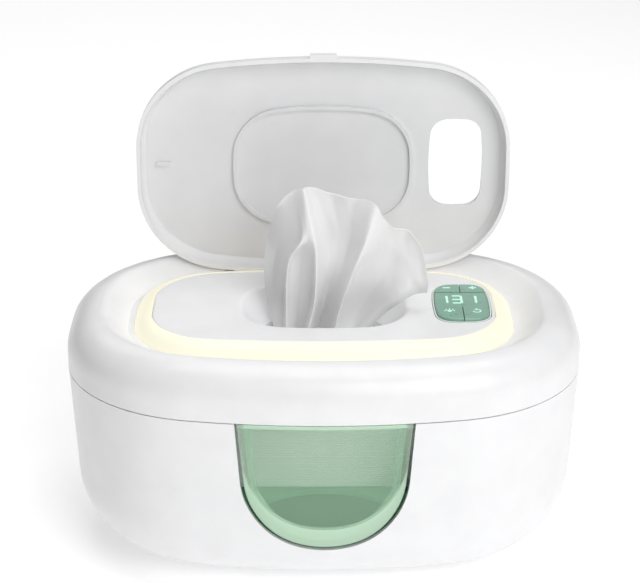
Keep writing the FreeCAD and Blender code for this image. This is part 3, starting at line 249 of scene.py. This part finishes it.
# %% [markdown]
# ## The green window
# The pane is tinted, clear moulding. Cycles sends no direct light through a refracting pane, and the
# tank behind would stay black, so the tint is made with alpha: part of the light passes straight
# through and part is scattered in the green.

# %% Tinted window
# Two outlines shape the tone: the edge's own round bottom, and a wider bowl inside which the pane is
# thin and clear. Between them the pane is thicker, paler and shows less of the inside.
WINDOW_TINT = (0.5, 0.8, 0.55)
WINDOW_EDGE = (0.66, 0.9, 0.69)
WINDOW_RIM = (0.45, 0.62, 0.5)
ROUND_BOTTOM = 0.0636
WINDOW_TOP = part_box("window")[1].z
RIM_START, RIM_END = 0.0352, 0.0366
CLEAR_TOP, CLEAR_HALF, CLEAR_DEPTH, CLEAR_POWER = 0.088, 0.0385, 0.05, 2.3
BOWL_START, BOWL_END = 0.98, 1.06
TOP_STRIP_START, TOP_STRIP_END = 0.0019, 0.0014
CLEAR_ALPHA, EDGE_ALPHA = 0.24, 0.62
window_tint, pane, shader, place = new_material("window_green_tint", WINDOW_TINT, 0.08)
split = pane.nodes.new("ShaderNodeSeparateXYZ")
pane.links.new(place, split.inputs["Vector"])


def maths(operation, *values):
    """A Math node of the pane, on sockets or numbers."""
    node = pane.nodes.new("ShaderNodeMath")
    node.operation = operation
    for socket, value in zip(node.inputs, values):
        if isinstance(value, (int, float)):
            socket.default_value = value
        else:
            pane.links.new(value, socket)
    return node.outputs["Value"]


def rising(value, start, end, low, high):
    """Rises smoothly from low to high while a value goes from start to end."""
    band = pane.nodes.new("ShaderNodeMapRange")
    band.interpolation_type = "SMOOTHSTEP"
    for name, number in (("From Min", start), ("From Max", end), ("To Min", low), ("To Max", high)):
        band.inputs[name].default_value = number
    pane.links.new(value, band.inputs["Value"])
    return band.outputs["Result"]


sideways = maths("ABSOLUTE", split.outputs["X"])
under = maths("MAXIMUM", maths("SUBTRACT", CLEAR_TOP, split.outputs["Z"]), 0.0)
bowl = maths("ADD", maths("POWER", maths("DIVIDE", sideways, CLEAR_HALF), CLEAR_POWER),
             maths("POWER", maths("DIVIDE", under, CLEAR_DEPTH), CLEAR_POWER))
below = maths("MINIMUM", maths("SUBTRACT", split.outputs["Z"], ROUND_BOTTOM), 0.0)
reach = maths("SQRT", maths("ADD", maths("MULTIPLY", sideways, sideways),
                            maths("MULTIPLY", below, below)))
edge_share = rising(bowl, BOWL_START, BOWL_END, 0.0, 1.0)
rim_share = rising(reach, RIM_START, RIM_END, 0.0, 1.0)
top_share = rising(split.outputs["Z"], WINDOW_TOP - TOP_STRIP_START, WINDOW_TOP - TOP_STRIP_END, 0.0, 1.0)
edge_share = maths("MAXIMUM", edge_share, top_share)
pane_tone = maths("ADD", maths("MULTIPLY", edge_share, 0.5), maths("MULTIPLY", rim_share, 0.5))
tones = pane.nodes.new("ShaderNodeValToRGB")
for element, colour in zip(tones.color_ramp.elements, (WINDOW_TINT, WINDOW_RIM)):
    element.color = (*colour, 1)
tones.color_ramp.elements.new(0.5).color = (*WINDOW_EDGE, 1)
pane.links.new(pane_tone, tones.inputs["Fac"])
pane.links.new(tones.outputs["Color"], shader.inputs["Base Color"])
pane.links.new(rising(edge_share, 0.0, 1.0, CLEAR_ALPHA, EDGE_ALPHA), shader.inputs["Alpha"])
gloss_between(pane, noise_node(pane, place, 90.0), 0.05, 0.11, shader.inputs["Roughness"])
grain_on(pane, shader, noise_node(pane, place, 120.0), 0.00005, 0.08)
paint_node("window", window_tint)

tank_green = moulded("tank_green_plastic", (0.08, 0.29, 0.13), 0.35)
for name in ("wipe_tank", "lift_platform"):
    paint_node(name, tank_green)

# %% [markdown]
# ## The light ring
# A milky diffuser hides a strip of small lamps. The real ring glows warmest along its crest, where the
# plastic is thickest; here it glows evenly all over, its tone drifting a little.

# %% Milky diffuser
ring_milk, tree, shader, place = new_material("ring_milk_diffuser", (0.6, 0.59, 0.52), 0.4)
tone_between(tree, noise_node(tree, place, 25.0), (0.58, 0.57, 0.5), (0.62, 0.61, 0.54),
             shader.inputs["Base Color"])
shader.inputs["Emission Color"].default_value = (1.0, 0.95, 0.68, 1)
shader.inputs["Emission Strength"].default_value = 0.45
grain_on(tree, shader, noise_node(tree, place, 2200.0), 0.00003, 0.2)
paint_node("light_ring", ring_milk)

# %% [markdown]
# ## Metal, boards and connectors
# These sit inside. They are seen when the lid or the cover is open, or not at all, and still get the
# finish that such parts have.

# %% Metal finishes
def drawn_metal(name, colour, roughness, stretch):
    """Metal whose fine lines run along one direction."""
    material, tree, shader, place = new_material(name, colour, roughness)
    shader.inputs["Metallic"].default_value = 1.0
    lines = tree.nodes.new("ShaderNodeMapping")
    lines.inputs["Scale"].default_value = stretch
    tree.links.new(place, lines.inputs["Vector"])
    pattern = noise_node(tree, lines.outputs["Vector"], 900.0, 4.0)
    gloss_between(tree, pattern, roughness * 0.75, roughness * 1.4, shader.inputs["Roughness"])
    tone_between(tree, pattern, shade(colour, 0.92), shade(colour, 1.05), shader.inputs["Base Color"])
    grain_on(tree, shader, pattern, 0.00003, 0.2)
    return material


pin_steel = drawn_metal("pin_steel", (0.62, 0.63, 0.65), 0.28, (0.05, 1, 1))
for name in ("cover_hinge_pin", "lid_hinge_pin", "cover_screws"):
    paint_node(name, pin_steel)
heater_metal = drawn_metal("heater_aluminium", (0.78, 0.78, 0.8), 0.35, (0.1, 1, 1))
paint_node("heating_plate", heater_metal)

# %% Film, boards and black plastic
heater_film = moulded("heater_film_amber", (0.5, 0.22, 0.04), 0.3, drift=0.08, patch=200.0)
paint_node("heater_film", heater_film)
board_green = moulded("board_green", (0.02, 0.12, 0.05), 0.35, drift=0.15, patch=400.0)
for name in ("main_board", "control_board", "led_strip"):
    paint_node(name, board_green)
black_plastic = moulded("connector_black", (0.02, 0.02, 0.022), 0.4, drift=0.1)
for name in ("dc_socket", "thermostat"):
    paint_node(name, black_plastic)

# %% [markdown]
# ## The key panel
# Five green caps sit in a pale tray. The middle one is a lens over the display; its digits and the
# marks on the four keys are pale and lit from behind.

# %% Key plastics
key_green = moulded("key_green_plastic", (0.235, 0.42, 0.33), 0.3, drift=0.03, patch=150.0)
for name in ("key_minus", "key_plus", "key_light", "key_power", "display_lens"):
    paint_node(name, key_green)
tray_plastic = moulded("tray_pale_plastic", (0.82, 0.88, 0.85), 0.4)
paint_node("panel_tray", tray_plastic)
mark_glow, tree, shader, place = new_material("mark_pale_glow", (0.58, 0.9, 0.76), 0.5)
tone_between(tree, noise_node(tree, place, 300.0), (0.55, 0.87, 0.73), (0.61, 0.92, 0.78),
             shader.inputs["Base Color"])
shader.inputs["Emission Color"].default_value = (0.62, 0.97, 0.82, 1)
shader.inputs["Emission Strength"].default_value = 0.22

# %% Marks modelled from bars and rings
KEY_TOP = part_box("key_plus")[1].z
LENS_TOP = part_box("display_lens")[1].z
LENS_Y = (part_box("display_lens")[0].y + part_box("display_lens")[1].y) / 2
MARK_RISE = 0.0001
MARK_DEPTH = 0.0003
MARK_SUNK = 0.6
panel_low, panel_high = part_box("panel_tray")
PANEL_X = (panel_low.x + panel_high.x) / 2


def bar(centre, length, width, turn=0.0):
    """A thin flat bar with rounded ends, lying on the XY plane."""
    deselect()
    bpy.ops.mesh.primitive_plane_add(size=1.0)
    piece = bpy.context.object
    bpy.ops.object.mode_set(mode="EDIT")
    bpy.ops.transform.resize(value=(length, width, 1))
    bpy.ops.mesh.bevel(affect="VERTICES", offset=width * 0.45, segments=4)
    bpy.ops.mesh.select_all(action="SELECT")
    bpy.ops.mesh.extrude_region_move(TRANSFORM_OT_translate={"value": (0, 0, MARK_DEPTH)})
    bpy.ops.mesh.select_all(action="SELECT")
    bpy.ops.mesh.normals_make_consistent(inside=False)
    bpy.ops.object.mode_set(mode="OBJECT")
    piece.data.transform(Matrix.Translation(centre) @ Matrix.Rotation(turn, 4, "Z"))
    return piece


def ring_mark(centre, radius, width, start, sweep):
    """A flat ring or part of one, spun from a small square."""
    deselect()
    bpy.ops.mesh.primitive_plane_add(size=1.0, rotation=(math.pi / 2, 0, 0))
    bpy.ops.object.transform_apply(rotation=True)
    piece = bpy.context.object
    bpy.ops.object.mode_set(mode="EDIT")
    bpy.ops.transform.resize(value=(width, 1, MARK_DEPTH))
    bpy.ops.transform.translate(value=(radius, 0, MARK_DEPTH / 2))
    full = sweep > 2 * math.pi - 0.01
    bpy.ops.mesh.spin(steps=28, angle=sweep, center=(0, 0, 0), axis=(0, 0, 1))
    bpy.ops.mesh.select_all(action="SELECT")
    bpy.ops.mesh.remove_doubles(threshold=1e-7)
    if full:
        bpy.ops.mesh.delete_loose()
    bpy.ops.mesh.select_all(action="SELECT")
    bpy.ops.mesh.normals_make_consistent(inside=False)
    bpy.ops.object.mode_set(mode="OBJECT")
    piece.data.transform(Matrix.Translation(centre) @ Matrix.Rotation(start, 4, "Z"))
    return piece


def join_pieces(name, pieces):
    """Joins pieces into one and names it."""
    deselect()
    for piece in pieces:
        piece.select_set(True)
    bpy.context.view_layer.objects.active = pieces[0]
    if len(pieces) > 1:
        bpy.ops.object.join()
    piece = bpy.context.object
    piece.name = name
    return piece


def finish_mark(name, pieces, body):
    """Joins the pieces of a mark, gives it the glow and lets it ride on its key's body."""
    mark = join_pieces(name, pieces)
    mark.data.materials.clear()
    mark.data.materials.append(mark_glow)
    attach(mark, body)
    print(name, "faces", len(mark.data.polygons))


# %% Digits of the display
SEGMENTS = {"1": "bc", "3": "abcdg"}
DIGIT_TALL = 0.0088
DIGIT_WIDE = 0.0044
STROKE = 0.0011
DIGIT_STEP = 0.0068
DIGITS_LEFT = 0.0022
DIGITS_Z = LENS_TOP + MARK_RISE - MARK_DEPTH * MARK_SUNK


def digit_bars(symbol, centre_x):
    """Seven-segment bars for one digit, read from the front."""
    quarter = DIGIT_TALL / 4
    side = DIGIT_WIDE / 2
    places = {
        "a": (0, 2 * quarter, 0), "g": (0, 0, 0), "d": (0, -2 * quarter, 0),
        "b": (side, quarter, 1), "c": (side, -quarter, 1),
    }
    bars = []
    for letter in SEGMENTS[symbol]:
        x, y, upright = places[letter]
        length = 2 * quarter - STROKE * 0.3 if upright else DIGIT_WIDE - STROKE * 0.2
        turn = math.pi / 2 if upright else 0.0
        bars.append(bar((centre_x + x, LENS_Y + y, DIGITS_Z), length, STROKE, turn))
    return bars


display_bars = []
for symbol, steps in (("1", -1), ("3", 0), ("1", 1)):
    display_bars += digit_bars(symbol, PANEL_X - DIGITS_LEFT + steps * DIGIT_STEP)
finish_mark("display_digits", display_bars, "top_cover")

# %% Marks on the four keys
MARK_Z = KEY_TOP + MARK_RISE - MARK_DEPTH * MARK_SUNK
RING_Z = MARK_Z - MARK_DEPTH / 2
FRONT_MARK_SHIFT = 0.0021
SIGN_LONG, SIGN_WIDE = 0.0036, 0.0009
LAMP_RADIUS, LAMP_WIDE = 0.0007, 0.0008
RAY_RADIUS, RAY_LONG, RAY_WIDE = 0.0021, 0.0009, 0.0005
POWER_RADIUS, POWER_WIDE = 0.0018, 0.0006
POWER_START, POWER_SWEEP = math.radians(125), math.radians(290)
STEM_RISE, STEM_LONG = 0.0016, 0.0018


def key_middle(name):
    """The middle of a key's top, as x and y."""
    low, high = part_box(name)
    return (low.x + high.x) / 2, (low.y + high.y) / 2


x, y = key_middle("key_minus")
finish_mark("minus_mark", [bar((x, y, MARK_Z), SIGN_LONG, SIGN_WIDE)], "minus_key")
x, y = key_middle("key_plus")
finish_mark("plus_mark", [bar((x, y, MARK_Z), SIGN_LONG, SIGN_WIDE),
                          bar((x, y, MARK_Z), SIGN_LONG, SIGN_WIDE, math.pi / 2)], "plus_key")
x, y = key_middle("key_light")
y += FRONT_MARK_SHIFT
rays = []
for step in range(5):
    turn = step * math.pi / 4
    place = (x + RAY_RADIUS * math.cos(turn), y + RAY_RADIUS * math.sin(turn), MARK_Z)
    rays.append(bar(place, RAY_LONG, RAY_WIDE, turn))
lamp = ring_mark((x, y, RING_Z), LAMP_RADIUS, LAMP_WIDE, 0, math.pi * 2)
finish_mark("light_mark", [lamp] + rays, "light_key")
x, y = key_middle("key_power")
y += FRONT_MARK_SHIFT
ring = ring_mark((x, y, RING_Z), POWER_RADIUS, POWER_WIDE, POWER_START, POWER_SWEEP)
stem = bar((x, y + STEM_RISE, MARK_Z), STEM_LONG, POWER_WIDE, math.pi / 2)
finish_mark("power_mark", [ring, stem], "power_key")

# %% [markdown]
# ## The springs under the platform
# A compression spring is one wire wound into a helix. A circle of wire, turned round the coil's axis
# while it rises, gives that form; the Screw modifier does both at once. The real springs shorten as
# the platform goes down; these are wound at one length.

# %% Lift springs
WIRE = 0.0016
COIL = 0.009
TURNS = 4
springs_low, springs_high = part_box("lift_springs")
spring_height = springs_high.z - springs_low.z
coils = []
for side in (-1, 1):
    deselect()
    bpy.ops.mesh.primitive_circle_add(vertices=12, radius=WIRE / 2, rotation=(math.pi / 2, 0, 0))
    coil = bpy.context.object
    bpy.ops.object.transform_apply(rotation=True)
    coil.data.transform(Matrix.Translation((COIL, 0, WIRE / 2)))
    wind = coil.modifiers.new("wind", "SCREW")
    wind.screw_offset = (spring_height - WIRE) / TURNS
    wind.iterations = TURNS
    wind.steps = wind.render_steps = 32
    bpy.ops.object.modifier_apply(modifier="wind")
    bpy.ops.object.mode_set(mode="EDIT")
    bpy.ops.mesh.select_all(action="SELECT")
    bpy.ops.mesh.fill_holes(sides=0)
    bpy.ops.mesh.normals_make_consistent(inside=False)
    bpy.ops.object.mode_set(mode="OBJECT")
    coil_x = side * ((springs_high.x - springs_low.x) / 2 - COIL - WIRE / 2)
    coil_y = (springs_low.y + springs_high.y) / 2
    coil.data.transform(Matrix.Translation((coil_x, coil_y, springs_low.z)))
    coils.append(coil)
springs = join_pieces("lift_coils", coils)
bpy.ops.object.shade_smooth_by_angle(angle=math.radians(60))
springs.data.materials.append(pin_steel)
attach(springs, "base")
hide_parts("lift_springs")
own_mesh(springs)
print("springs", as_lists([springs_low, springs_high]), "faces", len(springs.data.polygons))

# %% [markdown]
# ## The stack of wipes
# A pack of wipes is a pile of folded sheets. From outside it reads as a soft block with fine, uneven
# layers along its sides. The block is built up from the bottom: each layer is extruded, swells a
# little, and draws in again before the next one.

# %% Wipe fabric
def nonwoven(name, tone):
    """Damp non-woven cloth: fibrous, matt, a little uneven in tone."""
    material, tree, shader, place = new_material(name, (tone, tone, tone), 0.85)
    tone_between(tree, noise_node(tree, place, 140.0, 5.0), shade((tone,) * 3, 0.97),
                 shade((tone,) * 3, 1.03), shader.inputs["Base Color"])
    grain_on(tree, shader, noise_node(tree, place, 1500.0, 6.0), 0.0002, 0.35)
    shader.inputs["Sheen Weight"].default_value = 0.15
    shader.inputs["Sheen Roughness"].default_value = 0.5
    return material


# The standing wipe's tone is painted light and shade: darker in the valleys of its folds, where shade
# falls, and paler on its crests as a painted highlight. It follows an attribute of its mesh, which the
# wipe gets when it is made.
VALLEY_PAINTED_SHADE, CREST_PAINTED_HIGHLIGHT = 0.72, 0.98
wipe_cloth = nonwoven("wipe_nonwoven", 0.76)
tree = wipe_cloth.node_tree
shader = tree.nodes["Principled BSDF"]
painted_shade_reader = tree.nodes.new("ShaderNodeAttribute")
painted_shade_reader.attribute_name = "painted_fold_shade"
tones = tree.nodes.new("ShaderNodeValToRGB")
for element, tone in zip(tones.color_ramp.elements, (VALLEY_PAINTED_SHADE, CREST_PAINTED_HIGHLIGHT)):
    element.color = (tone, tone, tone, 1)
tree.links.new(painted_shade_reader.outputs["Fac"], tones.inputs["Fac"])
tree.links.new(tones.outputs["Color"], shader.inputs["Base Color"])
stack_cloth = nonwoven("stack_nonwoven", 0.94)

# %% Layered stack
LAYERS = 44
STACK_CORNER = 0.014
SWELL = 0.0002
stack_low, stack_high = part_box("wipe_stack")
stack_size = stack_high - stack_low
stack_middle = (stack_low + stack_high) / 2
layer_rise = stack_size.z / LAYERS

deselect()
bpy.ops.mesh.primitive_plane_add(size=1.0, location=(stack_middle.x, stack_middle.y, stack_low.z))
stack = bpy.context.object
stack.name = "folded_wipes"
bpy.ops.object.transform_apply(location=True)
bpy.ops.object.mode_set(mode="EDIT")
bpy.ops.transform.resize(value=(stack_size.x - 2 * SWELL, stack_size.y - 2 * SWELL, 1))
bpy.ops.mesh.bevel(affect="VERTICES", offset=STACK_CORNER, segments=7)
bpy.ops.mesh.select_all(action="SELECT")
for layer in range(LAYERS):
    swell = SWELL * (0.55 + 0.45 * noise.noise(Vector((0.0, 0.0, layer * 1.7))))
    grow = (1 + 2 * swell / stack_size.x, 1 + 2 * swell / stack_size.y, 1)
    shrink = (1 / grow[0], 1 / grow[1], 1)
    bpy.ops.mesh.extrude_region_move(TRANSFORM_OT_translate={"value": (0, 0, layer_rise * 0.25)})
    bpy.ops.transform.resize(value=grow)
    bpy.ops.mesh.extrude_region_move(TRANSFORM_OT_translate={"value": (0, 0, layer_rise * 0.5)})
    bpy.ops.mesh.extrude_region_move(TRANSFORM_OT_translate={"value": (0, 0, layer_rise * 0.25)})
    bpy.ops.transform.resize(value=shrink)
bpy.ops.mesh.select_all(action="SELECT")
bpy.ops.mesh.normals_make_consistent(inside=False)
bpy.ops.object.mode_set(mode="OBJECT")
bpy.ops.object.shade_smooth_by_angle(angle=math.radians(60))
stack.data.materials.append(stack_cloth)
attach(stack, "platform")
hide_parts("wipe_stack")
print("layers:", LAYERS, "stack:", [round(number, 4) for number in stack.dimensions])

# %% [markdown]
# ## The wipe in the mouth
# One sheet is pulled up through the mouth and left standing. It is gathered where the throat holds
# it and opens like a fan above, in a few soft pleats. The sheet is laid out as ribs that run from
# the throat to the free edge; a smooth surface through the ribs is the cloth.

# %% Ribs of the wipe
# Each rib: five points (x, z, y), from the throat up to the free edge, in millimetres. Three close
# ribs make a sharp crest. A sheet is as wide at the throat as at its free edge, so each row's pleats
# are deepened or eased until the cloth across it measures the sheet's width. FREE_WIDE is the flat
# width of the end that stands out of the pack; the rest is still folded in the pack.
FREE_WIDE = 0.112
RIBS = [
    ((-23, 97, -4), (-27, 113, -2), (-28, 131, 0), (-25.7, 147, 2), (-21, 163.5, 2)),
    ((-21, 97, -5), (-23.3, 113, -4), (-23.3, 131, -2), (-20, 149, -2), (-17.5, 168, -1)),
    ((-18.8, 97, -5), (-19.2, 117, -6.5), (-18, 137, -8), (-12, 151, -8), (-14.4, 170.8, -3)),
    ((-17.4, 97, -7), (-17.7, 118, -9.5), (-16.2, 138.5, -11), (-9.8, 151, -11), (-12.6, 171.7, -4.5)),
    ((-16.4, 97, -4.5), (-16.5, 118, -6), (-15, 138, -7), (-8.7, 151, -11.3), (-11.8, 172.2, -5.5)),
    ((-13, 97, -3), (-11.5, 118, -4), (-10, 139, -4), (-7.5, 151.5, -11.3), (-11, 172.7, -6.5)),
    ((-10.2, 97, -4), (-6.2, 117, -5), (-5.4, 137, -6), (-6.2, 151, -11.5), (-10.2, 173, -7.5)),
    ((-8.8, 97, -7), (-4.5, 117, -8.5), (-3.8, 137, -10), (-4.8, 151, -11.5), (-9.3, 173.3, -8)),
    ((-7.2, 97, -5), (-3, 116, -5.5), (-2.2, 136, -6), (-3, 150, -6.5), (-7.6, 172.8, -4)),
    ((-5, 97, -3), (-0.8, 115, -3), (1.2, 133, -2.5), (1.5, 150, -2), (-4, 171.8, -1.5)),
    ((-2.5, 97, -2), (1.6, 115, -3), (5, 131, -3), (7, 149, -3), (3, 168.5, 0)),
    ((0.2, 97, -3), (3.8, 115, -5), (8.2, 131, -5), (12.6, 149, -5), (12.5, 167, -3)),
    ((2.4, 97, -5), (5.7, 115, -8), (10.6, 131, -9), (16.6, 148, -9.5), (20, 167, -6.5)),
    ((4, 97, -7), (7.4, 115, -10.5), (12.5, 131, -12), (18.9, 148, -12.5), (24.3, 165, -9)),
    ((5.4, 97, -4), (8.8, 115, -7), (14.3, 130.5, -9), (22.8, 147, -10.5), (27, 159, -6.5)),
    ((8, 97, -3), (13, 113, -5), (19.5, 128, -6), (27, 142, -6.5), (32, 152.5, -3)),
    ((11.5, 97, -3), (19, 112, -4), (27, 126, -5), (34, 139, -5.5), (39, 151.3, -2)),
    ((14, 97, -3), (23, 111, -5), (32, 123.5, -6.5), (39.5, 134, -7), (45.2, 143.5, -4)),
    ((17, 97, -4), (26.5, 110, -6.5), (35, 119.5, -8), (43, 125.5, -8), (48.6, 127, -7)),
    ((21, 97, -3), (29, 108, -5), (35, 114.5, -6), (42, 119, -6), (48, 121, -6)),
]
# Columns between two ribs, rows between two points of a rib, and how round the pleats are, 0 to 1.
ACROSS = 8
UPWARDS = 14
SOFTNESS = 0.4


def through(points, t, softness=1.0):
    """A point at t from 0 to 1 on a line through evenly spaced points, from angular to smooth."""
    last = len(points) - 1
    at = min(t * last, last - 1e-6)
    index = int(at)
    part = at - index
    p1, p2 = points[index], points[index + 1]
    p0 = points[index - 1] if index > 0 else p1 * 2 - p2
    p3 = points[index + 2] if index + 2 <= last else p2 * 2 - p1
    smooth = 0.5 * (2 * p1 + (p2 - p0) * part + (2 * p0 - 5 * p1 + 4 * p2 - p3) * part ** 2
                    + (3 * p1 - p0 - 3 * p2 + p3) * part ** 3)
    return p1.lerp(p2, part).lerp(smooth, softness)


def run_length(points):
    """The length of a line through points."""
    return sum((b - a).length for a, b in zip(points, points[1:]))


SHALLOWEST, DEEPEST = 0.1, 8.0
GATHER_STEPS = 30


def gather(points, width):
    """Moves a row's valleys back from its foremost crest until the cloth across it is that wide."""
    front = min(point.y for point in points)
    shallow, deep = SHALLOWEST, DEEPEST
    for _ in range(GATHER_STEPS):
        depth = (shallow + deep) / 2
        moved = [Vector((p.x, front + (p.y - front) * depth, p.z)) for p in points]
        if run_length(moved) < width:
            shallow = depth
        else:
            deep = depth
    return moved


# How far round a point, and how deep, the painted fold shade looks for crests and valleys.
CREST_REACH = 10
CREST_DEPTH = 0.009


def painted_fold_light(points, column):
    """Painted light and shade of the folds: 0 in a valley, painted in shade, to 1 on a crest, painted as
    a highlight, by how far the cloth stands before its neighbours.
    """
    near = points[max(0, column - CREST_REACH):column + CREST_REACH + 1]
    middle = sum(point.y for point in near) / len(near)
    return min(1.0, max(0.0, 0.5 + (middle - points[column].y) / CREST_DEPTH))


LONG_WAVE, SHORT_WAVE = 1.1 * MM, 0.3 * MM


def wrinkle(point, height):
    """How far the sheet buckles at a point: long soft waves with short ones on top."""
    long_wave = noise.noise(Vector((point.x * 110, point.z * 45, 3.0)))
    short_wave = noise.noise(Vector((point.x * 330, point.z * 190, 8.0)))
    return Vector((0, (LONG_WAVE * long_wave + SHORT_WAVE * short_wave) * height, 0))


# %% Surface through the ribs
rib_curves = [[Vector((x, y, z)) * MM for x, z, y in rib] for rib in RIBS]
columns = (len(RIBS) - 1) * ACROSS + 1
rows = (len(RIBS[0]) - 1) * UPWARDS + 1
cloth_points = []
cloth_painted_shade = []
for row in range(rows):
    height = row / (rows - 1)
    level = [through(curve, height) for curve in rib_curves]
    across_row = [through(level, column / (columns - 1), SOFTNESS) for column in range(columns)]
    gathered = gather(across_row, FREE_WIDE)
    for column, point in enumerate(gathered):
        cloth_points.append(point + wrinkle(point, height))
        # Each point's painted fold shade: dark in the valleys, a painted highlight on the crests.
        cloth_painted_shade.append(painted_fold_light(gathered, column))
cloth_faces = [(r * columns + c, r * columns + c + 1, (r + 1) * columns + c + 1, (r + 1) * columns + c)
               for r in range(rows - 1) for c in range(columns - 1)]
cloth_mesh = bpy.data.meshes.new("standing_wipe")
cloth_mesh.from_pydata(cloth_points, [], cloth_faces)
# The painted fold shade is kept on the mesh for the cloth's material to read.
painted_shade_data = cloth_mesh.attributes.new("painted_fold_shade", "FLOAT", "POINT")
painted_shade_data.data.foreach_set("value", cloth_painted_shade)
wipe = bpy.data.objects.new("standing_wipe", cloth_mesh)
bpy.context.scene.collection.objects.link(wipe)

# %% Measures of the cloth
def in_mm(lengths):
    """Lengths in metres, as millimetres to a tenth."""
    return [round(length * 1000, 1) for length in lengths]


row_lengths = [run_length(cloth_points[r * columns:(r + 1) * columns]) for r in range(rows)]
column_lengths = [run_length(cloth_points[c::columns]) for c in range(columns)]
deck_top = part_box("deck")[1].z
in_throat = [point for point in cloth_points if point.z < deck_top]
print("cloth across, mm:", in_mm(row_lengths[::UPWARDS]))
print("cloth upwards, mm:", in_mm(column_lengths[::2 * ACROSS]))
print("in the throat, y mm:", in_mm([min(point.y for point in in_throat),
                                     max(point.y for point in in_throat)]))

# %% Thickness, smoothing and finish of the wipe
CLOTH_THICKNESS = 0.0005
deselect()
wipe.select_set(True)
bpy.context.view_layer.objects.active = wipe
thicken = wipe.modifiers.new("thickness", "SOLIDIFY")
thicken.thickness = CLOTH_THICKNESS
thicken.offset = 0
bpy.ops.object.modifier_apply(modifier="thickness")
bpy.ops.object.shade_smooth_by_angle(angle=math.radians(80))
wipe.data.materials.append(wipe_cloth)
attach(wipe, "top_cover")
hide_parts("pulled_wipe")
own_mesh(wipe)
print("wipe box", as_lists([Vector(c) for c in (wipe.bound_box[0], wipe.bound_box[6])]))
